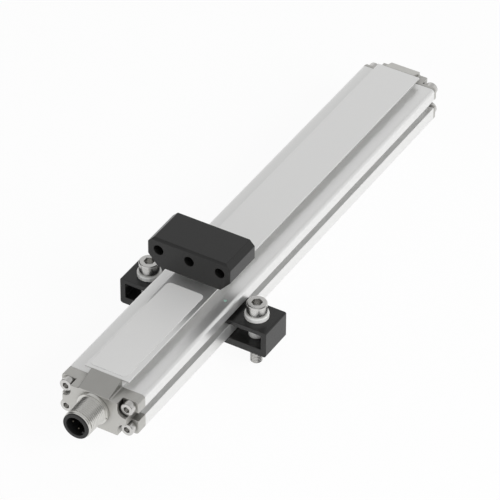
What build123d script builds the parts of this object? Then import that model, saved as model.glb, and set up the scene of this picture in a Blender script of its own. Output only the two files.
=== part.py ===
from build123d import *
import os

os.makedirs("parts", exist_ok=True)

# A magnetostrictive linear position sensor in an extruded aluminium profile.
# Millimetres. X runs along the sensor, away from the plug. Y is its left side, Z is up.
# The origin lies midway between the two bracket screws, on the plane that the brackets stand on.

# Extruded profile, heights above the mounting plane
profile_length = 231.0
bracket_line = 70.8        # from the profile's plug end to the line through the two bracket screws
profile_half = 17.4        # half of the width over the side faces
shoulder = 19.6            # the two flat shoulders beside the raised back
back_top = 23.2            # the flat top of the raised back
neck_half = 6.9            # the raised back under its overhanging lips
lip_half = 10.0
lip_height = 0.8
root_radius = 0.6          # where the back meets the shoulders
upper_corner = 1.5
lower_corner = 1.6
groove_low = 10.2          # the side grooves that the brackets hook into
groove_high = 14.2
groove_depth = 3.0
chamber_half = 11.0        # the chamber for the electronics
chamber_floor = 6.1
chamber_roof = 17.0
crown_half = 4.4           # the upper part of the chamber, inside the back
crown_roof = 21.4
chamber_radius = 0.8

# End caps and their screws
front_cap_length = 9.6
rear_cap_length = 6.2
wedge_slope = 0.33         # fall of each cap's sloped top, per millimetre along X
cap_screw_y = 13.8
cap_screw_low = 6.55
cap_screw_high = 16.65
m3_head_radius = 2.75
m3_head_height = 3.0
m3_hex = 2.5
m3_socket_depth = 2.0
m3_radius = 1.5
m3_clearance = 0.1
m3_reach = 11.0            # how far each cap screw goes into the profile
counterbore_radius = 3.2
head_recess = 1.6          # how far the heads lie behind the caps' outer faces
gasket_width = 1.0
gasket_height = 0.8
cap_pocket_half = 9.5
cap_pocket_low = 7.2
cap_pocket_high = 16.2
front_pocket_depth = 4.6
rear_pocket_depth = 3.0

# Round plug connector, M12
plug_z = 12.9
thread_radius = 6.0
plug_reach = 12.9          # from the cap's face to the connector's rim
collar_radius = 7.0
collar_height = 1.4
rim_radius = 5.65
rim_height = 0.8
thread_chamfer = 0.5
shell_bore = 4.6
shell_shank = 5.4
lining_bore = 4.15
lining_fit = 0.05
insert_floor = 8.5         # from the rim to the bottom of the plug socket
insert_tail = 2.6          # how far the insert stands into the cap's pocket
pin_circle = 2.55
pin_radius = 0.5
pin_recess = 2.0
pin_tail = 1.2
pin_count = 4
key_width = 1.2
key_height = 0.8
key_length = 5.5
seal_width = 0.9
seal_height = 0.7
collar_notch = 0.8

# Electronics
board_top = 9.9
board_height = 1.6
board_start = 4.2          # from the profile's plug end
board_length = 66.0
board_groove = 0.7
board_play = 0.1
lead_radius = 0.45
lead_pitch = 3.0
lead_land = 2.4
light_inset = 5.3          # the status light, from the board's far end
light_y = -14.0
light_inner_y = -8.5
light_inner_z = 11.4
light_radius = 0.5
light_fit = 0.05
led_size = 1.6
led_height = 0.8
chip_place = 38.5          # the parts on the board, from its plug end and from its middle line
chip_size = 9.0
chip_height = 1.0
regulator_place = 17.0
regulator_y = 5.5
regulator_length = 6.0
regulator_width = 5.0
regulator_height = 1.5
driver_place = 52.5
driver_y = 3.5
driver_size = 5.0
driver_height = 1.2
can_place = 14.0
can_pitch = 5.0
can_count = 3
can_y = -6.5
can_radius = 2.0
can_height = 4.5

# Sensing element
wave_z = 18.5
wave_radius = 0.35
wave_start = 9.0
tube_radius = 1.5
tube_bore = 0.9
rail_play = 0.1            # between the rail and the crown's walls
rail_low = 15.4
rail_start = 6.0
rail_end_gap = 5.0
return_radius = 0.3
return_drop = 2.3
pocket_half = 3.1
coil_x = 17.0
coil_length = 8.0
coil_radius = 2.5
bobbin_tube = 1.4
bobbin_bore = 0.55
bobbin_flange = 2.8
bobbin_flange_height = 0.8
clamp_size = 2.6
damper_length = 16.0
damper_radius = 2.8
damper_end_gap = 10.0
seat_play = 0.15

# Position magnet
magnet_x = 69.8            # its middle at the start of the stroke, from the profile's plug end
magnet_length = 18.9
magnet_half = 18.9
magnet_low = 28.3
magnet_high = 41.7
magnet_top_chamfer = 2.3
magnet_low_chamfer_y = 4.5
magnet_low_chamfer_z = 5.0
magnet_edge = 0.9          # the bevel along the top edge that faces the plug
magnet_hole_radius = 2.2
magnet_hole_y = 14.0
magnet_hole_z = 36.5
bar_radius = 2.6
bar_height = 4.0
bar_x = 5.0
bar_y = 7.0
potting_height = 1.0

# Name label
label_start = 1.5
label_length = 58.0
label_left = 9.0
label_right = -7.9
label_height = 0.15
label_radius = 2.0

# Mounting brackets and their screws
bracket_length = 16.0
bracket_half = 33.9
bracket_height = 12.4
bracket_floor = 3.4        # the profile rests on the floors of the brackets
bracket_wall = 2.4
bracket_reach = 11.5       # inner end of the plate under the profile, from the middle
bracket_play = 0.1         # over the lower lip of the groove
nose_play = 0.3
bracket_top_corner = 0.8
bracket_low_corner = 1.2
screw_y = 25.0
m5_radius = 2.5
m5_neck = 2.24            # the rolled thread's plain shank above the mounting plane
m5_thread_start = 0.3      # below the mounting plane
m5_length = 25.0
m5_head_radius = 4.25
m5_head_height = 5.0
m5_hex = 4.0
m5_socket_depth = 3.0
head_edge = 0.07           # chamfer of every screw head, as a share of its height
tip_edge = 0.2             # chamfer of every screw tip, as a share of its radius
sleeve_radius = 3.25
sleeve_bore = 2.65
sleeve_fit = 0.1
sleeve_flange = 5.0
sleeve_flange_height = 1.0
sleeve_foot = 0.2          # the sleeve ends this far above the mounting plane
washer_radius = 5.0
washer_bore = 2.7
washer_height = 1.0

underside = bracket_floor
front_x = -bracket_line
rear_x = front_x + profile_length
cap_face_x = front_x - front_cap_length
rear_face_x = rear_x + rear_cap_length
rim_x = cap_face_x - plug_reach
light_x = front_x + board_start + board_length - light_inset


def block(x0, x1, y0, y1, z0, z1):
    """A box between two values on each axis."""
    return Pos((x0 + x1) / 2, (y0 + y1) / 2, (z0 + z1) / 2) * Box(x1 - x0, y1 - y0, z1 - z0)


def rod_x(radius, x0, x1, y, z):
    """A cylinder along X between two values."""
    return Pos((x0 + x1) / 2, y, z) * Rot(0, 90, 0) * Cylinder(radius, x1 - x0)


def rod_z(radius, x, y, z0, z1):
    """A cylinder along Z between two values."""
    return Pos(x, y, (z0 + z1) / 2) * Cylinder(radius, z1 - z0)


def rod_between(radius, start, end):
    """A cylinder from one point to another."""
    along = Vector(*end) - Vector(*start)
    plane = Plane(origin=start, z_dir=along)
    return plane * Pos(0, 0, along.length / 2) * Cylinder(radius, along.length)


def along_x(section, x0, x1):
    """Extrudes a section drawn in Y and Z from one X to another."""
    return extrude(Plane.YZ.offset(x0) * section, amount=x1 - x0)


def rectangle(y0, y1, z0, z1):
    """A rectangle in a section drawn in Y and Z."""
    return Pos((y0 + y1) / 2, (z0 + z1) / 2) * Rectangle(y1 - y0, z1 - z0)


def corners_at(section, y, z):
    """The corners of a section that lie at plus or minus y and at z."""
    return [v for v in section.vertices() if abs(abs(v.X) - y) < 1e-4 and abs(v.Y - z) < 1e-4]


def rounded_slab():
    """The lower part of the outline, which the profile and both caps share, with its side grooves."""
    slab = rectangle(-profile_half, profile_half, underside, shoulder)
    slab = fillet(corners_at(slab, profile_half, shoulder), upper_corner)
    slab = fillet(corners_at(slab, profile_half, underside), lower_corner)
    for side in (-1, 1):
        floor_y = side * (profile_half - groove_depth)
        slab -= rectangle(*sorted((floor_y, side * (profile_half + 1))), groove_low, groove_high)
    return slab


def back_outline():
    """The slab with the raised back on it."""
    outline = rounded_slab() + rectangle(-neck_half, neck_half, underside + 1, back_top)
    return fillet(corners_at(outline, neck_half, shoulder), root_radius)


def chamber_section():
    """The hollow inside the profile: a wide chamber with a narrow crown."""
    lower = rectangle(-chamber_half, chamber_half, chamber_floor, chamber_roof)
    lower = fillet(lower.vertices(), chamber_radius)
    return lower + rectangle(-crown_half, crown_half, chamber_roof - 2, crown_roof)


def cap_screw_places():
    """Y and Z of the four screws of a cap."""
    return [(side * cap_screw_y, z) for z in (cap_screw_low, cap_screw_high) for side in (-1, 1)]


def light_line():
    """The status light's two ends, the outer one carried on past the shoulder."""
    inner = Vector(light_x, light_inner_y, light_inner_z)
    outer = Vector(light_x, light_y, shoulder)
    return inner, outer + (outer - inner) * 0.2


def make_profile():
    section = back_outline() + rectangle(-lip_half, lip_half, back_top - lip_height, back_top)
    section -= chamber_section()
    groove_half = chamber_half + board_groove
    section -= rectangle(-groove_half, groove_half, board_top - board_height - board_play, board_top + board_play)
    body = along_x(section, front_x, rear_x)
    for y, z in cap_screw_places():
        depth = m3_reach + 1
        body -= rod_x(m3_radius + m3_clearance / 2, front_x, front_x + depth, y, z)
        body -= rod_x(m3_radius + m3_clearance / 2, rear_x - depth, rear_x, y, z)
    inner, outer = light_line()
    body -= rod_between(light_radius + light_fit, tuple(inner), tuple(outer))
    return body


def make_cap(inner_x, outer_x, pocket_depth):
    """An end cap: the outline of slab and neck, with a sloped top, counterbores, pocket and seal groove."""
    away = 1 if outer_x > inner_x else -1
    low_x, high_x = sorted((inner_x, outer_x))
    cap = along_x(back_outline(), low_x, high_x)
    length = high_x - low_x
    drop = wedge_slope * length
    slope = Plane.XZ.offset(-neck_half - 1) * make_face(Polyline(
        (inner_x, back_top), (outer_x + away, back_top - drop - wedge_slope),
        (outer_x + away, back_top + 2), (inner_x, back_top + 2), close=True))
    cap -= extrude(slope, amount=2 * (neck_half + 1))
    floor_x = outer_x - away * (head_recess + m3_head_height)
    for y, z in cap_screw_places():
        cap -= corner_recess(*sorted((floor_x, outer_x + away)), y, z)
        cap -= rod_x(m3_radius + m3_clearance, low_x - 1, high_x + 1, y, z)
    p0, p1 = sorted((inner_x - away, inner_x + away * pocket_depth))
    cap -= block(p0, p1, -cap_pocket_half, cap_pocket_half, cap_pocket_low, cap_pocket_high)
    g0, g1 = sorted((inner_x, inner_x + away * gasket_height))
    cap -= along_x(gasket_section(), g0, g1)
    return cap


def corner_recess(x0, x1, y, z):
    """Room for a screw's head: a counterbore open to the side, its groove and the top or underside."""
    reach = counterbore_radius
    side = 1 if y > 0 else -1
    level = 1 if z > (underside + shoulder) / 2 else -1
    room = rod_x(reach, x0, x1, y, z)
    room += block(x0, x1, *sorted((y, side * (profile_half + 1))), z - reach, z + reach)
    room += block(x0, x1, *sorted((y - side * reach, side * (profile_half + 1))), *sorted((z, z + level * (reach + 1))))
    groove_floor = side * (profile_half - groove_depth)
    groove_middle = (groove_low + groove_high) / 2
    room += block(x0, x1, *sorted((groove_floor, side * (profile_half + 1))), *sorted((z, groove_middle)))
    return room


def gasket_section():
    return offset(chamber_section(), gasket_width) - chamber_section()


def make_gasket(inner_x, away):
    x0, x1 = sorted((inner_x, inner_x + away * gasket_height))
    return along_x(gasket_section(), x0, x1)


def make_front_cap():
    cap = make_cap(front_x, cap_face_x, front_pocket_depth)
    cap -= rod_x(shell_shank, cap_face_x - 1, front_x, 0, plug_z)
    seal = rod_x(shell_shank + seal_width, cap_face_x, cap_face_x + seal_height, 0, plug_z)
    return cap - seal


def socket_screw(radius, length, head_radius, head_height, hexagon, socket_depth, neck, neck_length):
    """A socket-head screw along Z: its head stands up from the origin, and neck and thread hang down."""
    head = rod_z(head_radius, 0, 0, 0, head_height)
    head = chamfer(head.edges().sort_by(Axis.Z)[-1], head_edge * head_height)
    thread = rod_z(radius, 0, 0, -length, -neck_length)
    thread = chamfer(thread.edges().sort_by(Axis.Z)[0], tip_edge * radius)
    socket = extrude(RegularPolygon(hexagon / 3 ** 0.5, 6), amount=socket_depth)
    screw = head + thread - Pos(0, 0, head_height - socket_depth) * socket
    return screw + rod_z(neck, 0, 0, -neck_length, 0) if neck_length > 0 else screw


def make_cap_screws(inner_x, outer_x):
    away = 1 if outer_x > inner_x else -1
    seat_x = outer_x - away * (head_recess + m3_head_height)
    length = abs(seat_x - inner_x) + m3_reach
    screw = socket_screw(m3_radius, length, m3_head_radius, m3_head_height, m3_hex, m3_socket_depth, m3_radius, 0)
    return Compound([Pos(seat_x, y, z) * Rot(0, away * 90, 0) * screw for y, z in cap_screw_places()])


def make_shell():
    """The threaded housing of the plug, with its collar against the cap."""
    front = rim_x + rim_height
    collar_x = cap_face_x - collar_height
    barrel = rod_x(thread_radius, front, collar_x, 0, plug_z)
    barrel = chamfer(barrel.edges().sort_by(Axis.X)[0], thread_chamfer)
    shell = barrel + rod_x(collar_radius, collar_x, cap_face_x, 0, plug_z)
    shell += rod_x(shell_shank, cap_face_x, front_x - front_pocket_depth, 0, plug_z)
    shell -= rod_x(shell_bore, front - 1, front_x, 0, plug_z)
    notch_z = plug_z - 1.5
    shell -= block(collar_x - 1, cap_face_x - seal_height, -collar_radius - 1, -thread_radius - 0.2,
                   notch_z - collar_notch / 2, notch_z + collar_notch / 2)
    return shell


def make_insert():
    """The contact carrier: a lining with a rim in front and a solid floor behind."""
    tail_x = front_x - front_pocket_depth + insert_tail
    outer = shell_bore - lining_fit
    insert = rod_x(outer, rim_x, tail_x, 0, plug_z) + rod_x(rim_radius, rim_x, rim_x + rim_height, 0, plug_z)
    insert -= rod_x(lining_bore, rim_x - 1, rim_x + insert_floor, 0, plug_z)
    key = block(rim_x + 1, rim_x + 1 + key_length, lining_bore - key_height, lining_bore + 0.1,
                -key_width / 2, key_width / 2)
    insert += Pos(0, 0, plug_z) * Rot(-135, 0, 0) * key
    for y, z in pin_places():
        insert -= rod_x(pin_radius, rim_x + insert_floor - 1, tail_x + 1, y, z)
    return insert


def pin_places():
    """Y and Z of the contact pins, evenly round the plug's axis."""
    spots = PolarLocations(pin_circle, pin_count)
    return [(spot.position.X, plug_z + spot.position.Y) for spot in spots]


def make_pins():
    tail_x = front_x - front_pocket_depth + insert_tail + pin_tail
    pins = []
    for y, z in pin_places():
        pin = rod_x(pin_radius, rim_x + pin_recess, tail_x, y, z)
        pins.append(chamfer(pin.edges().sort_by(Axis.X)[0], pin_radius * 0.5))
    return Compound(pins)


def make_seal():
    seal = rod_x(shell_shank + seal_width, cap_face_x, cap_face_x + seal_height, 0, plug_z)
    return seal - rod_x(shell_shank, cap_face_x - 1, cap_face_x + 2, 0, plug_z)


def make_leads():
    """One wire from the tail of each pin to its land on the board, sorted so that none cross."""
    start_x = front_x - front_pocket_depth + insert_tail + pin_tail
    end_x = front_x + board_start + lead_land
    places = sorted(pin_places(), key=lambda place: (round(place[0], 3), place[1]))
    first = -lead_pitch * (pin_count - 1) / 2
    leads = []
    for index, (y, z) in enumerate(places):
        lead = rod_between(lead_radius, (start_x, y, z), (end_x, first + lead_pitch * index, board_top + lead_radius))
        leads.append(lead - block(start_x - 2, start_x, y - 2, y + 2, z - 2, z + 2))
    return Compound(leads)


def make_board():
    half = chamber_half + board_groove - board_play
    x0 = front_x + board_start
    return block(x0, x0 + board_length, -half, half, board_top - board_height, board_top)


def on_board(place, y, length, width, height):
    """A flat component on the board, by the middle of its base."""
    x = front_x + board_start + place
    return block(x - length / 2, x + length / 2, y - width / 2, y + width / 2, board_top, board_top + height)


def make_board_parts():
    """Controller, regulator, coil driver and capacitors on the board."""
    chip = on_board(chip_place, 0, chip_size, chip_size, chip_height)
    regulator = on_board(regulator_place, regulator_y, regulator_length, regulator_width, regulator_height)
    driver = on_board(driver_place, driver_y, driver_size, driver_size, driver_height)
    first = front_x + board_start + can_place
    cans = [rod_z(can_radius, first + can_pitch * i, can_y, board_top, board_top + can_height)
            for i in range(can_count)]
    return Compound([chip, regulator, driver] + cans)


def make_led():
    half = led_size / 2
    y0, y1 = light_inner_y - half, light_inner_y + half
    return block(light_x - half, light_x + half, y0, y1, board_top, board_top + led_height)


def make_light_pipe():
    inner, outer = light_line()
    pipe = rod_between(light_radius, tuple(inner), tuple(outer))
    above = block(front_x, rear_x, light_y - 20, light_y + 20, shoulder, shoulder + 20)
    return pipe - above


def rail_pocket(x0, x1):
    return block(x0 - seat_play, x1 + seat_play, -pocket_half, pocket_half, rail_low - 1, crown_roof)


def coil_span():
    middle = front_x + coil_x
    return middle - coil_length / 2, middle + coil_length / 2


def damper_span():
    end = rear_x - damper_end_gap
    return end - damper_length, end


def clamp_span():
    start = front_x + wave_start
    return start, start + clamp_size


def make_rail():
    """The plastic rail in the crown, with pockets for coil and damper and bores for the wires."""
    start, end = front_x + rail_start, rear_x - rail_end_gap
    half = crown_half - rail_play
    rail = block(start, end, -half, half, rail_low, crown_roof - rail_play)
    for span in (clamp_span(), coil_span(), damper_span()):
        rail -= rail_pocket(*span)
    rail -= rod_x(tube_radius + seat_play / 2, coil_span()[1], damper_span()[0], 0, wave_z)
    rail -= rod_x(wave_radius + seat_play, start - 1, damper_span()[1], 0, wave_z)
    rail -= rod_x(return_radius + seat_play, start - 1, end + 1, 0, wave_z - return_drop)
    return rail


def make_waveguide():
    return rod_x(wave_radius, clamp_span()[0], damper_span()[1] - 1, 0, wave_z)


def make_tube():
    x0, x1 = coil_span()[1] + seat_play, damper_span()[0] - seat_play
    return rod_x(tube_radius, x0, x1, 0, wave_z) - rod_x(tube_bore, x0 - 1, x1 + 1, 0, wave_z)


def make_return_wire():
    return rod_x(return_radius, coil_span()[1] + 2, damper_span()[0] - 1, 0, wave_z - return_drop)


def make_bobbin():
    x0, x1 = coil_span()
    bobbin = rod_x(bobbin_tube, x0, x1, 0, wave_z)
    bobbin += rod_x(bobbin_flange, x0, x0 + bobbin_flange_height, 0, wave_z)
    bobbin += rod_x(bobbin_flange, x1 - bobbin_flange_height, x1, 0, wave_z)
    return bobbin - rod_x(bobbin_bore, x0 - 1, x1 + 1, 0, wave_z)


def make_coil():
    x0, x1 = coil_span()
    winding = rod_x(coil_radius, x0 + bobbin_flange_height, x1 - bobbin_flange_height, 0, wave_z)
    return winding - rod_x(bobbin_tube, x0, x1, 0, wave_z)


def make_clamp():
    x0, x1 = clamp_span()
    half = pocket_half - seat_play
    clamp = block(x0, x1, -half, half, wave_z - clamp_size / 2, wave_z + clamp_size / 2)
    return clamp - rod_x(wave_radius, x0 - 1, x1 + 1, 0, wave_z)


def make_damper():
    x0, x1 = damper_span()
    return rod_x(damper_radius, x0, x1, 0, wave_z) - rod_x(wave_radius, x0 - 1, x1 - 1, 0, wave_z)


def bar_places():
    middle = front_x + magnet_x
    return [(middle + bar_x * i, bar_y * j) for i in (-1, 1) for j in (-1, 1)]


def make_magnet_housing():
    """The plastic block that carries the bar magnets over the profile."""
    x0 = front_x + magnet_x - magnet_length / 2
    section = Polyline(
        (magnet_half, magnet_high - magnet_top_chamfer), (magnet_half - magnet_top_chamfer, magnet_high),
        (-magnet_half + magnet_top_chamfer, magnet_high), (-magnet_half, magnet_high - magnet_top_chamfer),
        (-magnet_half, magnet_low + magnet_low_chamfer_z), (-magnet_half + magnet_low_chamfer_y, magnet_low),
        (magnet_half - magnet_low_chamfer_y, magnet_low), (magnet_half, magnet_low + magnet_low_chamfer_z),
        close=True)
    housing = along_x(make_face(section), x0, x0 + magnet_length)
    top = housing.faces().sort_by(Axis.Z)[-1]
    housing = chamfer(top.edges().filter_by(Axis.Y).sort_by(Axis.X)[0], magnet_edge)
    for y in (-magnet_hole_y, 0, magnet_hole_y):
        housing -= rod_x(magnet_hole_radius, x0 - 1, x0 + magnet_length + 1, y, magnet_hole_z)
    for x, y in bar_places():
        housing -= rod_z(bar_radius, x, y, magnet_low - 1, magnet_low + potting_height + bar_height)
    return housing


def make_bar_magnets():
    low = magnet_low + potting_height
    return Compound([rod_z(bar_radius, x, y, low, low + bar_height) for x, y in bar_places()])


def make_potting():
    return Compound([rod_z(bar_radius, x, y, magnet_low, magnet_low + potting_height) for x, y in bar_places()])


def make_label():
    middle_y = (label_left + label_right) / 2
    x0 = front_x + label_start
    shape = RectangleRounded(label_length, label_left - label_right, label_radius)
    return extrude(Pos(x0 + label_length / 2, middle_y, back_top) * shape, amount=label_height)


def make_bracket(side):
    """A C-shaped bracket: its nose hooks into the side groove and its floor runs under the profile."""
    outline = rectangle(bracket_reach, bracket_half, 0, bracket_height)
    outline = fillet(corners_at(outline, bracket_half, bracket_height), bracket_top_corner)
    outline = fillet(corners_at(outline, bracket_half, 0), bracket_low_corner)
    nose_under = groove_low + bracket_play
    wall_y = bracket_half - bracket_wall
    outline -= rectangle(bracket_reach - 1, wall_y, bracket_floor, nose_under)
    nose_y = profile_half - groove_depth + nose_play
    outline -= rectangle(bracket_reach - 1, nose_y, nose_under, bracket_height + 1)
    bracket = along_x(outline, -bracket_length / 2, bracket_length / 2)
    bracket -= rod_z(sleeve_radius + sleeve_fit, 0, screw_y, -1, bracket_height + 1)
    return bracket if side > 0 else mirror(bracket, about=Plane.XZ)


def make_sleeve(side):
    """The insulating sleeve between bracket and screw, with its flange on the bracket."""
    y = side * screw_y
    sleeve = rod_z(sleeve_radius, 0, y, sleeve_foot, bracket_height)
    sleeve += rod_z(sleeve_flange, 0, y, bracket_height, bracket_height + sleeve_flange_height)
    return sleeve - rod_z(sleeve_bore, 0, y, -1, bracket_height + 5)


def make_washer(side):
    y = side * screw_y
    low = bracket_height + sleeve_flange_height
    return rod_z(washer_radius, 0, y, low, low + washer_height) - rod_z(washer_bore, 0, y, low - 1, low + 5)


def make_bracket_screw(side):
    seat = bracket_height + sleeve_flange_height + washer_height
    neck_length = seat + m5_thread_start
    screw = socket_screw(m5_radius, m5_length, m5_head_radius, m5_head_height, m5_hex, m5_socket_depth,
                         m5_neck, neck_length)
    return Pos(0, side * screw_y, seat) * screw


nodes = {
    "profile_body": make_profile(),
    "name_label": make_label(),
    "light_pipe": make_light_pipe(),
    "status_led": make_led(),
    "front_cap": make_front_cap(),
    "front_gasket": make_gasket(front_x, -1),
    "front_cap_screws": make_cap_screws(front_x, cap_face_x),
    "connector_shell": make_shell(),
    "connector_insert": make_insert(),
    "connector_pins": make_pins(),
    "connector_seal": make_seal(),
    "connector_leads": make_leads(),
    "rear_cap": make_cap(rear_x, rear_face_x, rear_pocket_depth),
    "rear_gasket": make_gasket(rear_x, 1),
    "rear_cap_screws": make_cap_screws(rear_x, rear_face_x),
    "circuit_board": make_board(),
    "board_parts": make_board_parts(),
    "waveguide": make_waveguide(),
    "waveguide_tube": make_tube(),
    "waveguide_rail": make_rail(),
    "waveguide_clamp": make_clamp(),
    "return_wire": make_return_wire(),
    "coil_bobbin": make_bobbin(),
    "pickup_coil": make_coil(),
    "damping_plug": make_damper(),
    "magnet_housing": make_magnet_housing(),
    "bar_magnets": make_bar_magnets(),
    "magnet_potting": make_potting(),
}
for side_name, side in (("left", 1), ("right", -1)):
    nodes[f"{side_name}_bracket"] = make_bracket(side)
    nodes[f"{side_name}_sleeve"] = make_sleeve(side)
    nodes[f"{side_name}_washer"] = make_washer(side)
    nodes[f"{side_name}_bracket_screw"] = make_bracket_screw(side)

for name, shape in nodes.items():
    export_step(shape, f"parts/{name}.step")
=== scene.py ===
import math

import bmesh
import bpy
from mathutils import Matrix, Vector


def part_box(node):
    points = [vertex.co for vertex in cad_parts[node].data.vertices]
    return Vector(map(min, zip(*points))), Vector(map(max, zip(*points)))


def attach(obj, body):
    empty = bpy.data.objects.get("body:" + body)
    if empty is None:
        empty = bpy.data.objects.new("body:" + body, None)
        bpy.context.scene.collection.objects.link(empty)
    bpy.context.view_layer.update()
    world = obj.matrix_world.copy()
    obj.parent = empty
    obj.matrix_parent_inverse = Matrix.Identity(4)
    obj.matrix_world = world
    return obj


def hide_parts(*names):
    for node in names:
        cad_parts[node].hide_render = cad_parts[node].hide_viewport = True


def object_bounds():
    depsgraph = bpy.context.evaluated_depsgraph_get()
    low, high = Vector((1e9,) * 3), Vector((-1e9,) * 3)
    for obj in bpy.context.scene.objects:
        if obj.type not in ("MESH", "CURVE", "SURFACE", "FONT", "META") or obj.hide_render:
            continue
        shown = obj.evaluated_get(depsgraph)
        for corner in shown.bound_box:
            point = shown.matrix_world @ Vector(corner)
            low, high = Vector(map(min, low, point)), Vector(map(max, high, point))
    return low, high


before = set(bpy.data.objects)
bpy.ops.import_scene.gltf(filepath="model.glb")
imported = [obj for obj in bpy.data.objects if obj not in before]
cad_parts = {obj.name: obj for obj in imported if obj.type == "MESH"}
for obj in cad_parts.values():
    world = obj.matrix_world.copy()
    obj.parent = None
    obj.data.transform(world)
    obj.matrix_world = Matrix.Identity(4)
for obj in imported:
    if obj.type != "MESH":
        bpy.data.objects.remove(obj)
cadLow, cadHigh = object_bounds()
print("stage: packed part loaded")

mm = 0.001


# Shared helpers


# Turns an sRGB hex colour into the linear values that the shaders take, by the standard sRGB curve.
def toLinear(hexText):
    values = [int(hexText[i:i + 2], 16) / 255 for i in (1, 3, 5)]
    return [v / 12.92 if v <= 0.04045 else ((v + 0.055) / 1.055) ** 2.4 for v in values] + [1.0]


def addNode(tree, kind, settings=None, inputs=None, links=None):
    node = tree.nodes.new(kind)
    for key, value in (settings or {}).items():
        setattr(node, key, value)
    for key, value in (inputs or {}).items():
        node.inputs[key].default_value = value
    for key, socket in (links or {}).items():
        tree.links.new(socket, node.inputs[key])
    return node


def newTree(name):
    material = bpy.data.materials.new(name)
    material.use_nodes = True
    material.node_tree.nodes.clear()
    return material, material.node_tree


# Tones down what lies between two heights and closer to the middle than the profile's sides, in mm:
# painted shade in the side grooves, where the shade of the slots falls.
def paintGrooveShade(tree, place, shader, grooves):
    axes = addNode(tree, "ShaderNodeSeparateXYZ", links={"Vector": place.outputs["Object"]})
    middle = (grooves["low"] + grooves["high"]) / 2
    half = (grooves["high"] - grooves["low"]) / 2
    atHeight = addNode(tree, "ShaderNodeMath", {"operation": "COMPARE"},
                       inputs={1: middle * mm, 2: half * mm}, links={0: axes.outputs["Z"]})
    away = addNode(tree, "ShaderNodeMath", {"operation": "ABSOLUTE"}, links={0: axes.outputs["Y"]})
    inside = addNode(tree, "ShaderNodeMath", {"operation": "LESS_THAN"},
                     inputs={1: grooves["side"] * mm}, links={0: away.outputs[0]})
    share = addNode(tree, "ShaderNodeMath", {"operation": "MULTIPLY"},
                    links={0: atHeight.outputs[0], 1: inside.outputs[0]})
    level = addNode(tree, "ShaderNodeMapRange", inputs={"To Min": 1.0, "To Max": grooves["tone"]},
                    links={"Value": share.outputs[0]})
    toned = addNode(tree, "ShaderNodeMix", {"data_type": "RGBA", "blend_type": "MULTIPLY"},
                    inputs={"Factor": 1.0})
    tree.links.new(shader.inputs["Base Color"].links[0].from_socket, toned.inputs["A"])
    tree.links.new(level.outputs["Result"], toned.inputs["B"])
    tree.links.new(toned.outputs["Result"], shader.inputs["Base Color"])


# What all surfaces share: how finely patches and grain break up, the part of the grain's range that the
# roughness follows, and how open a place is where a recess's painted shade is darkest and where it ends.
surfaceSetup = {
    "patchDetail": 3.0, "patchBreakUp": 0.55, "grainDetail": 2.0, "grainBreakUp": 0.6,
    "grainLow": 0.3, "grainHigh": 0.7, "darkestAt": 0.25, "unshadedAt": 0.85, "shadeSamples": 8,
}


# A solid surface: two near colours in soft patches, a roughness that drifts, and a fine grain in relief.
# In a look, patch, grain, depth and the painted shade's reach are in mm. stretch draws patches and grain out
# along X, Y or Z, as on drawn or extruded stock. The painted shade darkens the colour in holes and grooves
# within that reach, where shade falls, and its tone is how dark it gets there.
def makeSurface(name, look):
    material, tree = newTree(name)
    place = addNode(tree, "ShaderNodeTexCoord")
    drawnOut = addNode(tree, "ShaderNodeMapping", inputs={"Scale": look.get("stretch", (1, 1, 1))},
                       links={"Vector": place.outputs["Object"]})
    patches = addNode(tree, "ShaderNodeTexNoise", inputs={
        "Scale": 1 / (look["patch"] * mm), "Detail": surfaceSetup["patchDetail"],
        "Roughness": surfaceSetup["patchBreakUp"]},
        links={"Vector": drawnOut.outputs["Vector"]})
    grain = addNode(tree, "ShaderNodeTexNoise", inputs={
        "Scale": 1 / (look["grain"] * mm), "Detail": surfaceSetup["grainDetail"],
        "Roughness": surfaceSetup["grainBreakUp"]},
        links={"Vector": drawnOut.outputs["Vector"]})
    colour = addNode(tree, "ShaderNodeMix", {"data_type": "RGBA"},
                     links={"Factor": patches.outputs["Fac"]})
    colour.inputs["A"].default_value = toLinear(look["base"])
    colour.inputs["B"].default_value = toLinear(look["tone"])
    finish = colour.outputs["Result"]
    # painted shade: the colour is darkened where ambient occlusion finds the surface closed in
    if "shadeReach" in look:
        openness = addNode(tree, "ShaderNodeAmbientOcclusion", {"samples": surfaceSetup["shadeSamples"]},
                           inputs={"Distance": look["shadeReach"] * mm})
        unshaded = addNode(tree, "ShaderNodeMapRange", inputs={
            "From Min": surfaceSetup["darkestAt"], "From Max": surfaceSetup["unshadedAt"],
            "To Min": look["shadeTone"], "To Max": 1.0},
            links={"Value": openness.outputs["AO"]})
        shaded = addNode(tree, "ShaderNodeMix", {"data_type": "RGBA", "blend_type": "MULTIPLY"},
                         inputs={"Factor": 1.0})
        tree.links.new(finish, shaded.inputs["A"])
        tree.links.new(unshaded.outputs["Result"], shaded.inputs["B"])
        finish = shaded.outputs["Result"]
    rough = addNode(tree, "ShaderNodeMapRange", inputs={
        "From Min": surfaceSetup["grainLow"], "From Max": surfaceSetup["grainHigh"],
        "To Min": look["roughness"] - look["drift"], "To Max": look["roughness"] + look["drift"]},
        links={"Value": grain.outputs["Fac"]})
    relief = addNode(tree, "ShaderNodeBump", inputs={
        "Strength": look["reliefStrength"], "Distance": look["depth"] * mm},
        links={"Height": grain.outputs["Fac"]})
    shader = addNode(tree, "ShaderNodeBsdfPrincipled", links={
        "Base Color": finish, "Roughness": rough.outputs["Result"],
        "Normal": relief.outputs["Normal"]})
    for key, value in look["shader"].items():
        shader.inputs[key].default_value = value
    # painted shade in the side grooves
    if "grooves" in look:
        paintGrooveShade(tree, place, shader, look["grooves"])
    addNode(tree, "ShaderNodeOutputMaterial", links={"Surface": shader.outputs["BSDF"]})
    return material


def selectOnly(piece):
    bpy.ops.object.select_all(action="DESELECT")
    piece.select_set(True)
    bpy.context.view_layer.objects.active = piece


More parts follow.
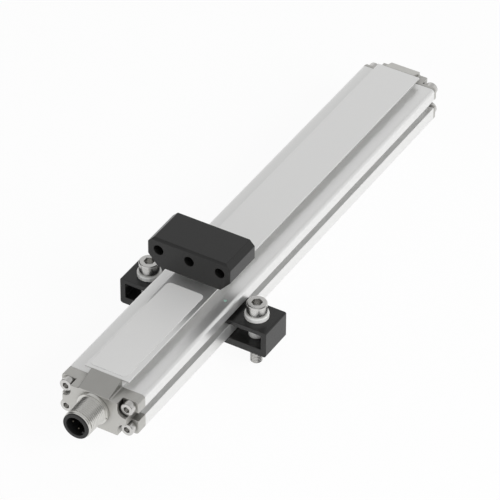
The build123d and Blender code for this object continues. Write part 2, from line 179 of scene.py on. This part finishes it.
def applyModifier(piece, kind, settings):
    selectOnly(piece)
    modifier = piece.modifiers.new(kind.lower(), kind)
    for key, value in settings.items():
        setattr(modifier, key, value)
    bpy.ops.object.modifier_apply(modifier=modifier.name)


# How far two points may lie apart to be one, in mm, and how far a face may tilt to be one with the next,
# in degrees.
nodeMerge = {"apart": 0.002, "tilt": 0.6}


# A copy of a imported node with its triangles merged, ready to be dressed.
def copyOfNode(node, name):
    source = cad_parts[node]
    piece = bpy.data.objects.new(name, source.data.copy())
    bpy.context.scene.collection.objects.link(piece)
    selectOnly(piece)
    bpy.ops.mesh.customdata_custom_splitnormals_clear()
    bpy.ops.object.mode_set(mode="EDIT")
    bpy.ops.mesh.select_all(action="SELECT")
    bpy.ops.mesh.remove_doubles(threshold=nodeMerge["apart"] * mm)
    bpy.ops.mesh.dissolve_limited(angle_limit=math.radians(nodeMerge["tilt"]))
    bpy.ops.object.mode_set(mode="OBJECT")
    return piece


# Where edges are left whole, in mm: how close to a shared face a point has to lie, and the stretch of the
# caps' joint faces within their rims, wide in the body and narrow in the raised back.
sharedFaces = {"close": 0.01, "bottom": 4.5, "bodyTop": 18.4, "bodyHalf": 15.6, "backHalf": 6.2}
# How edges are broken and shaded, with angles in degrees: edges sharper than brokenFrom get the bevel.
edgeFinish = {"brokenFrom": 35, "segments": 3, "smoothBelow": 40, "flatFaceWeight": 60}


# Says whether a point lies on a face that meets another piece, whose edges are left whole: seatZ is the
# height at which washer and sleeve meet; jointX is a cap's joint face, but only within its rim, where holes
# and the seal's groove run too close to each other for their edges to be broken.
def meetsAnother(point, value):
    if "seatZ" in value:
        return abs(point.z - value["seatZ"]) < sharedFaces["close"] * mm
    if "jointX" not in value:
        return False
    inBack = abs(point.y) < sharedFaces["backHalf"] * mm
    inBody = abs(point.y) < sharedFaces["bodyHalf"] * mm and point.z < sharedFaces["bodyTop"] * mm
    withinRim = point.z > sharedFaces["bottom"] * mm and (inBack or inBody)
    return abs(point.x - value["jointX"]) < sharedFaces["close"] * mm and withinRim


# Breaks the sharp edges and keeps the flat faces flat in the light.
def breakEdges(piece, value):
    shape = bmesh.new()
    shape.from_mesh(piece.data)
    weight = shape.edges.layers.float.new("bevel_weight_edge")
    for edge in shape.edges:
        hidden = all(meetsAnother(corner.co, value) for corner in edge.verts)
        blunt = edge.calc_face_angle(0) < math.radians(edgeFinish["brokenFrom"])
        edge[weight] = 0.0 if hidden or blunt else 1.0
    shape.to_mesh(piece.data)
    shape.free()
    applyModifier(piece, "BEVEL", {
        "width": value["width"] * mm, "segments": edgeFinish["segments"], "limit_method": "WEIGHT",
        "use_clamp_overlap": False, "miter_outer": "MITER_ARC"})
    selectOnly(piece)
    bpy.ops.object.shade_smooth_by_angle(angle=math.radians(edgeFinish["smoothBelow"]))
    applyModifier(piece, "WEIGHTED_NORMAL", {"keep_sharp": True, "weight": edgeFinish["flatFaceWeight"]})


# The cutter of all threads: its width as a share of the pitch, just under one so that the turns stay apart,
# its steps in a turn, and the angle in degrees below which the cut piece is shaded smooth.
threadCutter = {"widthOfPitch": 0.94, "steps": 48, "smoothBelow": 32}


# Cuts a helical V thread into a piece. The cutter is one triangle whose point lies at the thread's root. It
# is screwed round the axis and capped.
def cutThread(piece, thread):
    corner = threadCutter["widthOfPitch"] * thread["pitch"] * mm / math.sqrt(3)
    root = (thread["radius"] - thread["depth"]) * mm
    bpy.ops.object.select_all(action="DESELECT")
    bpy.ops.mesh.primitive_circle_add(vertices=3, radius=corner, location=(root + corner, 0, 0),
                                      rotation=(math.radians(90), math.radians(-90), 0))
    cutter = bpy.context.object
    bpy.ops.object.transform_apply(location=True, rotation=True, scale=True)
    applyModifier(cutter, "SCREW", {
        "axis": "Z", "screw_offset": thread["pitch"] * mm, "iterations": thread["turns"],
        "steps": threadCutter["steps"], "render_steps": threadCutter["steps"], "use_merge_vertices": False})
    selectOnly(cutter)
    bpy.ops.object.mode_set(mode="EDIT")
    bpy.ops.mesh.select_all(action="SELECT")
    bpy.ops.mesh.fill_holes(sides=3)
    bpy.ops.mesh.select_all(action="SELECT")
    bpy.ops.mesh.normals_make_consistent(inside=False)
    bpy.ops.object.mode_set(mode="OBJECT")
    cutter.location = thread["start"]
    cutter.rotation_euler = thread["turn"]
    bpy.ops.object.transform_apply(location=True, rotation=True, scale=True)
    applyModifier(piece, "BOOLEAN", {"operation": "DIFFERENCE", "solver": "EXACT", "object": cutter})
    bpy.data.objects.remove(cutter, do_unlink=True)
    selectOnly(piece)
    bpy.ops.object.shade_smooth_by_angle(angle=math.radians(threadCutter["smoothBelow"]))


def setMaterial(piece, material):
    piece.data.materials.clear()
    piece.data.materials.append(material)


# Hands a finished piece over: its material and its body, and hides the node that it stands for.
def handOver(piece, material, body, node):
    setMaterial(piece, material)
    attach(piece, body)
    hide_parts(node)


# Materials

# natural anodised aluminium, drawn through a die: an even satin. Its oxide scatters a part of the light, so
# it is not fully metallic. The die lines, really some hundredths of a millimetre wide, are drawn at 0.6 mm
# and only soften its reflections, and the side grooves are painted a little darker, as painted shade.
anodisedAluminium = makeSurface("anodisedAluminium", {
    "base": "#f8f8f7", "tone": "#f5f5f4", "patch": 22, "grain": 0.6, "stretch": (0.02, 1, 1),
    "roughness": 0.33, "drift": 0.012, "depth": 0.002, "reliefStrength": 0.2,
    "grooves": {"low": 10.0, "high": 14.4, "side": 17.2, "tone": 0.86},
    "shader": {"Metallic": 0.82}})

# pressure-cast aluminium, bead blasted: greyer and duller than the profile, with a 0.3 mm grit, and with
# painted shade in its corners and counterbores
castAluminium = makeSurface("castAluminium", {
    "base": "#d0cfcb", "tone": "#c9c8c4", "patch": 5, "grain": 0.3, "shadeReach": 5.0, "shadeTone": 0.46,
    "roughness": 0.4, "drift": 0.04, "depth": 0.006, "reliefStrength": 0.4,
    "shader": {"Metallic": 1.0}})

# matt polyester film, rolled on: light grey, and it hardly mirrors, unlike the metal round it
labelFilm = makeSurface("labelFilm", {
    "base": "#e5e5e4", "tone": "#e2e2e1", "patch": 18, "grain": 0.5,
    "roughness": 0.5, "drift": 0.03, "depth": 0.001, "reliefStrength": 0.2,
    "shader": {"IOR": 1.45}})

# zinc-plated steel: bright, a little cloudy, with painted shade in the sockets and under the heads
zincSteel = makeSurface("zincSteel", {
    "base": "#dddcd9", "tone": "#d4d3d1", "patch": 1.5, "grain": 0.25, "shadeReach": 1.6, "shadeTone": 0.55,
    "roughness": 0.24, "drift": 0.03, "depth": 0.002, "reliefStrength": 0.3,
    "shader": {"Metallic": 1.0}})

# tumbled zinc on the flat washers: a fine white frost over the metal, so they stay bright on black
zincWasher = makeSurface("zincWasher", {
    "base": "#fafaf8", "tone": "#f6f6f4", "patch": 3, "grain": 0.25,
    "roughness": 0.4, "drift": 0.03, "depth": 0.004, "reliefStrength": 0.3,
    "shader": {"Metallic": 0.25}})

# nickel on brass: satin, faintly warm, with painted shade at the bottom of its thread
nickelPlate = makeSurface("nickelPlate", {
    "base": "#e6e5e1", "tone": "#dfdeda", "patch": 3, "grain": 0.3, "shadeReach": 0.5, "shadeTone": 0.8,
    "roughness": 0.3, "drift": 0.03, "depth": 0.002, "reliefStrength": 0.3,
    "shader": {"Metallic": 1.0}})

# glass-filled polyamide, moulded with a fine spark-eroded grain: near black with a soft sheen
blackPolyamide = makeSurface("blackPolyamide", {
    "base": "#181818", "tone": "#1c1c1b", "patch": 4, "grain": 0.25,
    "roughness": 0.3, "drift": 0.03, "depth": 0.005, "reliefStrength": 0.35,
    "shader": {"IOR": 1.5}})

# the plug's insert: the same plastic, a shade greyer and duller
blackInsert = makeSurface("blackInsert", {
    "base": "#1e1e1e", "tone": "#232323", "patch": 2, "grain": 0.2,
    "roughness": 0.42, "drift": 0.05, "depth": 0.006, "reliefStrength": 0.3,
    "shader": {"IOR": 1.46}})

# flash gold over nickel on the contact pins, painted dull and dark as painted shade for the bottom of a
# dark socket, with more painted shade towards the socket's walls
goldPlate = makeSurface("goldPlate", {
    "base": "#6b665e", "tone": "#635d54", "patch": 0.8, "grain": 0.2, "shadeReach": 4.0, "shadeTone": 0.2,
    "roughness": 0.3, "drift": 0.04, "depth": 0.002, "reliefStrength": 0.2,
    "shader": {"Metallic": 1.0}})

# natural white polyamide of the insulating sleeves, the rail and the bobbin: clean, with a soft sheen
whitePolyamide = makeSurface("whitePolyamide", {
    "base": "#f4f4f2", "tone": "#efefed", "patch": 3, "grain": 0.25,
    "roughness": 0.4, "drift": 0.05, "depth": 0.005, "reliefStrength": 0.3,
    "shader": {"IOR": 1.53}})

# moulded nitrile seals: dull black
sealRubber = makeSurface("sealRubber", {
    "base": "#1d1d1d", "tone": "#242424", "patch": 2, "grain": 0.2,
    "roughness": 0.65, "drift": 0.06, "depth": 0.01, "reliefStrength": 0.4,
    "shader": {"IOR": 1.5}})

# green solder mask over glass laminate: glossy, with the 0.4 mm weave just showing
boardLaminate = makeSurface("boardLaminate", {
    "base": "#1f5a34", "tone": "#1a4f2d", "patch": 3, "grain": 0.4, "stretch": (1, 1, 0.2),
    "roughness": 0.3, "drift": 0.05, "depth": 0.01, "reliefStrength": 0.3,
    "shader": {"IOR": 1.5, "Coat Weight": 0.3}})

# moulded epoxy of the chips: charcoal, matt
chipEpoxy = makeSurface("chipEpoxy", {
    "base": "#202021", "tone": "#28282a", "patch": 1.5, "grain": 0.15,
    "roughness": 0.5, "drift": 0.05, "depth": 0.01, "reliefStrength": 0.3,
    "shader": {"IOR": 1.55}})

# drawn nickel-iron wire: grey, with lines along it
drawnWire = makeSurface("drawnWire", {
    "base": "#b9b8b5", "tone": "#a9a8a5", "patch": 6, "grain": 0.1, "stretch": (0.03, 1, 1),
    "roughness": 0.3, "drift": 0.05, "depth": 0.003, "reliefStrength": 0.3,
    "shader": {"Metallic": 1.0}})

# soft white sleeve round the wire: milky, with a little light sinking into it
whiteSleeve = makeSurface("whiteSleeve", {
    "base": "#e6e6e2", "tone": "#dcdcd8", "patch": 5, "grain": 0.3,
    "roughness": 0.45, "drift": 0.05, "depth": 0.006, "reliefStrength": 0.3,
    "shader": {"IOR": 1.45, "Subsurface Weight": 0.1, "Subsurface Scale": 0.0005}})

# turned brass of the clamp: pale yellow, with rings of the tool across it
turnedBrass = makeSurface("turnedBrass", {
    "base": "#e3c98c", "tone": "#d8bd7e", "patch": 1, "grain": 0.15, "stretch": (1, 0.2, 0.2),
    "roughness": 0.25, "drift": 0.05, "depth": 0.006, "reliefStrength": 0.3,
    "shader": {"Metallic": 1.0}})

# enamelled copper wire, wound in turns of 0.25 mm across the coil's axis: glossy, with a ridge for each turn
enamelledCopper = makeSurface("enamelledCopper", {
    "base": "#e0a070", "tone": "#cf8e60", "patch": 1, "grain": 0.25, "stretch": (1, 0.04, 0.04),
    "roughness": 0.25, "drift": 0.06, "depth": 0.04, "reliefStrength": 0.7,
    "shader": {"Metallic": 1.0, "Coat Weight": 0.4}})

# soft wire insulation: red-brown, satin
wireInsulation = makeSurface("wireInsulation", {
    "base": "#b8402f", "tone": "#a83727", "patch": 2, "grain": 0.3,
    "roughness": 0.45, "drift": 0.04, "depth": 0.006, "reliefStrength": 0.3,
    "shader": {"IOR": 1.5}})

# soft damping compound: dark, dull and lumpy
dampingCompound = makeSurface("dampingCompound", {
    "base": "#5d4038", "tone": "#4f352e", "patch": 2, "grain": 0.5,
    "roughness": 0.7, "drift": 0.06, "depth": 0.05, "reliefStrength": 0.5,
    "shader": {"IOR": 1.45}})

# sintered ferrite: dark grey, dense, slightly metallic
sinteredFerrite = makeSurface("sinteredFerrite", {
    "base": "#4a4a4c", "tone": "#414143", "patch": 2, "grain": 0.2,
    "roughness": 0.5, "drift": 0.08, "depth": 0.015, "reliefStrength": 0.4,
    "shader": {"Metallic": 0.6}})

# black casting resin over the magnets: smooth and a little glossy
castResin = makeSurface("castResin", {
    "base": "#222222", "tone": "#1c1c1c", "patch": 3, "grain": 0.8,
    "roughness": 0.25, "drift": 0.05, "depth": 0.02, "reliefStrength": 0.3,
    "shader": {"IOR": 1.55}})

# acrylic light guide over a weak green diode: pale green, glossy, with a faint glow of its own
litGuide = makeSurface("litGuide", {
    "base": "#a9c6bb", "tone": "#9dbcb0", "patch": 1, "grain": 0.3,
    "roughness": 0.2, "drift": 0.03, "depth": 0.003, "reliefStrength": 0.2,
    "shader": {"IOR": 1.49, "Emission Color": toLinear("#5fb398"), "Emission Strength": 0.16}})
print("stage: materials made")

nodeMaterials = {
    "profile_body": anodisedAluminium, "name_label": labelFilm,
    "light_pipe": litGuide, "status_led": litGuide,
    "front_cap": castAluminium, "rear_cap": castAluminium,
    "front_gasket": sealRubber, "rear_gasket": sealRubber, "connector_seal": sealRubber,
    "front_cap_screws": zincSteel, "rear_cap_screws": zincSteel,
    "connector_shell": nickelPlate, "connector_insert": blackInsert,
    "connector_pins": goldPlate, "connector_leads": wireInsulation,
    "circuit_board": boardLaminate, "board_parts": chipEpoxy,
    "waveguide": drawnWire, "waveguide_tube": whiteSleeve,
    "waveguide_rail": whitePolyamide, "waveguide_clamp": turnedBrass,
    "return_wire": enamelledCopper, "pickup_coil": enamelledCopper,
    "coil_bobbin": whitePolyamide, "damping_plug": dampingCompound,
    "magnet_housing": blackPolyamide, "bar_magnets": sinteredFerrite, "magnet_potting": castResin,
    "left_bracket": blackPolyamide, "right_bracket": blackPolyamide,
    "left_sleeve": whitePolyamide, "right_sleeve": whitePolyamide,
    "left_washer": zincWasher, "right_washer": zincWasher,
    "left_bracket_screw": zincSteel, "right_bracket_screw": zincSteel,
}
for node, material in nodeMaterials.items():
    setMaterial(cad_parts[node], material)

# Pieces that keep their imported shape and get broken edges, with the bevel's width in mm

profileLow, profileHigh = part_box("profile_body")
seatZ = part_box("left_washer")[0].z
edgeBreaks = {
    "profile_body": {"width": 0.18, "body": "sensor", "slot": "aluminium"},
    "front_cap": {"width": 0.25, "body": "sensor", "slot": "cast_aluminium", "jointX": profileLow.x},
    "rear_cap": {"width": 0.25, "body": "sensor", "slot": "cast_aluminium", "jointX": profileHigh.x},
    "name_label": {"width": 0.05, "body": "sensor", "slot": "label"},
    "front_cap_screws": {"width": 0.12, "body": "sensor", "slot": "screw_steel"},
    "rear_cap_screws": {"width": 0.12, "body": "sensor", "slot": "screw_steel"},
    "connector_insert": {"width": 0.1, "body": "sensor", "slot": "black_insert"},
    "connector_shell": {"width": 0.15, "body": "sensor", "slot": "nickel_plate"},
    "connector_pins": {"width": 0.12, "body": "sensor", "slot": "gold_plate"},
    "magnet_housing": {"width": 0.2, "body": "magnet", "slot": "black_plastic"},
    "left_bracket": {"width": 0.2, "body": "left_mount", "slot": "black_plastic"},
    "right_bracket": {"width": 0.2, "body": "right_mount", "slot": "black_plastic"},
    "left_sleeve": {"width": 0.12, "body": "left_mount", "slot": "sleeve_plastic", "seatZ": seatZ},
    "right_sleeve": {"width": 0.12, "body": "right_mount", "slot": "sleeve_plastic", "seatZ": seatZ},
    "left_washer": {"width": 0.3, "body": "left_mount", "slot": "screw_steel", "seatZ": seatZ},
    "right_washer": {"width": 0.3, "body": "right_mount", "slot": "screw_steel", "seatZ": seatZ},
    "left_bracket_screw": {"width": 0.15, "body": "left_mount", "slot": "screw_steel"},
    "right_bracket_screw": {"width": 0.15, "body": "right_mount", "slot": "screw_steel"},
}
# the M12 x 1 thread of the plug, from behind its smooth lead-in to the collar, in mm
plugThread = {"radius": 6.0, "pitch": 1.0, "depth": 0.62, "turns": 9, "fromRim": 1.3}
# the M5 threads under the brackets, run out beyond the screws' tips, in mm
screwThread = {"radius": 2.5, "pitch": 0.8, "depth": 0.49, "turns": 13, "pastTip": 0.3}


def plugThreadOf(node):
    low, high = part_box(node)
    start = (low.x + plugThread["fromRim"] * mm, 0, (low.z + high.z) / 2)
    return dict(plugThread, start=start, turn=(0, math.radians(90), 0))


def screwThreadOf(node):
    low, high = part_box(node)
    start = ((low.x + high.x) / 2, (low.y + high.y) / 2, low.z - screwThread["pastTip"] * mm)
    return dict(screwThread, start=start, turn=(0, 0, 0))


threads = {
    "connector_shell": plugThreadOf("connector_shell"),
    "left_bracket_screw": screwThreadOf("left_bracket_screw"),
    "right_bracket_screw": screwThreadOf("right_bracket_screw"),
}
for node, value in edgeBreaks.items():
    piece = copyOfNode(node, node + "_finished")
    breakEdges(piece, value)
    if node in threads:
        cutThread(piece, threads[node])
    handOver(piece, nodeMaterials[node], value["body"], node)
print("stage: packed shapes dressed and threads cut")

# Studio

studio = {
    "floorSize": 8.0, "floorColour": "#ffffff", "floorRoughness": 0.9, "floorSheen": 0.1,
    # how much of its white the floor shows of itself, to the eye and in the metal; the rest is lit and
    # shadowed
    "floorOwnLight": 0.93, "floorOwnLightInMetal": 0.5,
    # the sky's brightness by height, from the horizon to overhead
    "sky": ((0.0, 0.85), (0.5, 0.8), (0.585, 0.72), (0.65, 0.58), (0.9, 0.48), (1.0, 0.45)),
    # the studio's dark walls, straight to the left and right of the profile: by how far a direction turns
    # along the profile and how high it points, where they begin and are full, and what they take
    "darkWalls": {"from": 0.62, "full": 0.46, "top": 0.72, "fullBelow": 0.58, "takes": 0.97},
    "keyPlace": (-0.25, -1.1, 0.75), "keySize": 0.7, "keyPower": 11.0,
}
bpy.ops.object.select_all(action="DESELECT")
bpy.ops.mesh.primitive_plane_add(size=studio["floorSize"], location=(0, 0, cadLow.z))
floor = bpy.context.object
floor.name = "floor"
# matt white board: the eye sees it almost as plain white, with the object's soft shadow on it
floorMaterial, tree = newTree("mattWhiteFloor")
lit = addNode(tree, "ShaderNodeBsdfPrincipled", inputs={
    "Base Color": toLinear(studio["floorColour"]), "Roughness": studio["floorRoughness"],
    "Specular IOR Level": studio["floorSheen"]})
own = addNode(tree, "ShaderNodeEmission", inputs={"Color": (1, 1, 1, 1), "Strength": 1.0})
path = addNode(tree, "ShaderNodeLightPath")
mirrored = addNode(tree, "ShaderNodeMath", {"operation": "MAXIMUM"}, links={
    0: path.outputs["Is Glossy Ray"], 1: path.outputs["Is Transmission Ray"]})
inMetal = addNode(tree, "ShaderNodeMath", {"operation": "MULTIPLY"},
                  inputs={1: studio["floorOwnLightInMetal"]}, links={0: mirrored.outputs[0]})
toEye = addNode(tree, "ShaderNodeMath", {"operation": "MULTIPLY"},
                inputs={1: studio["floorOwnLight"]}, links={0: path.outputs["Is Camera Ray"]})
share = addNode(tree, "ShaderNodeMath", {"operation": "MAXIMUM"}, links={
    0: toEye.outputs[0], 1: inMetal.outputs[0]})
both = addNode(tree, "ShaderNodeMixShader", links={
    "Fac": share.outputs[0], 1: lit.outputs["BSDF"], 2: own.outputs["Emission"]})
addNode(tree, "ShaderNodeOutputMaterial", links={"Surface": both.outputs["Shader"]})
setMaterial(floor, floorMaterial)

world = bpy.data.worlds.new("studioWorld")
bpy.context.scene.world = world
world.use_nodes = True
tree = world.node_tree
tree.nodes.clear()
heading = addNode(tree, "ShaderNodeTexCoord")
split = addNode(tree, "ShaderNodeSeparateXYZ", links={"Vector": heading.outputs["Generated"]})
heights = addNode(tree, "ShaderNodeValToRGB", links={"Fac": split.outputs["Z"]})
stops = heights.color_ramp.elements
while len(stops) < len(studio["sky"]):
    stops.new(0.5)  # the next loop moves each stop to its height
for stop, (height, level) in zip(stops, studio["sky"]):
    stop.position = height
    stop.color = (level, level, level, 1)
walls = studio["darkWalls"]
alongProfile = addNode(tree, "ShaderNodeMath", {"operation": "ABSOLUTE"}, links={0: split.outputs["X"]})
sideways = addNode(tree, "ShaderNodeMapRange", {"interpolation_type": "SMOOTHSTEP"}, inputs={
    "From Min": walls["full"], "From Max": walls["from"], "To Min": 1.0, "To Max": 0.0},
    links={"Value": alongProfile.outputs[0]})
lowDown = addNode(tree, "ShaderNodeMapRange", {"interpolation_type": "SMOOTHSTEP"}, inputs={
    "From Min": walls["fullBelow"], "From Max": walls["top"], "To Min": 1.0, "To Max": 0.0},
    links={"Value": split.outputs["Z"]})
inWalls = addNode(tree, "ShaderNodeMath", {"operation": "MULTIPLY"}, links={
    0: sideways.outputs["Result"], 1: lowDown.outputs["Result"]})
brightness = addNode(tree, "ShaderNodeMapRange", inputs={"To Min": 1.0, "To Max": 1 - walls["takes"]},
                     links={"Value": inWalls.outputs[0]})
sky = addNode(tree, "ShaderNodeBackground", links={
    "Color": heights.outputs["Color"], "Strength": brightness.outputs["Result"]})
addNode(tree, "ShaderNodeOutputWorld", links={"Surface": sky.outputs["Background"]})

bpy.ops.object.light_add(type="AREA", location=studio["keyPlace"])
keyLamp = bpy.context.object
keyLamp.name = "keyLamp"
keyLamp.visible_glossy = False  # it lights the object, and the metal doesn't mirror it
keyLamp.data.size = studio["keySize"]
keyLamp.data.energy = studio["keyPower"]
keyLamp.rotation_euler = (-Vector(studio["keyPlace"])).to_track_quat("-Z", "Y").to_euler()

# the camera: place in metres, turn in degrees, lens and sensor in mm, and the range that it sees in metres
view = {
    "place": (-0.99294, -0.60532, 0.96502), "turn": (51.359, -0.372, -59.253),
    "lens": 272.23, "sensor": 36.0, "nearest": 0.01, "farthest": 20.0,
}
bpy.ops.object.camera_add(location=view["place"], rotation=[math.radians(a) for a in view["turn"]])
camera = bpy.context.object
camera.data.lens = view["lens"]
camera.data.sensor_width = view["sensor"]
camera.data.clip_start = view["nearest"]
camera.data.clip_end = view["farthest"]
bpy.context.scene.camera = camera
bpy.context.scene.view_settings.view_transform = "Standard"
print("stage: studio and camera ready")
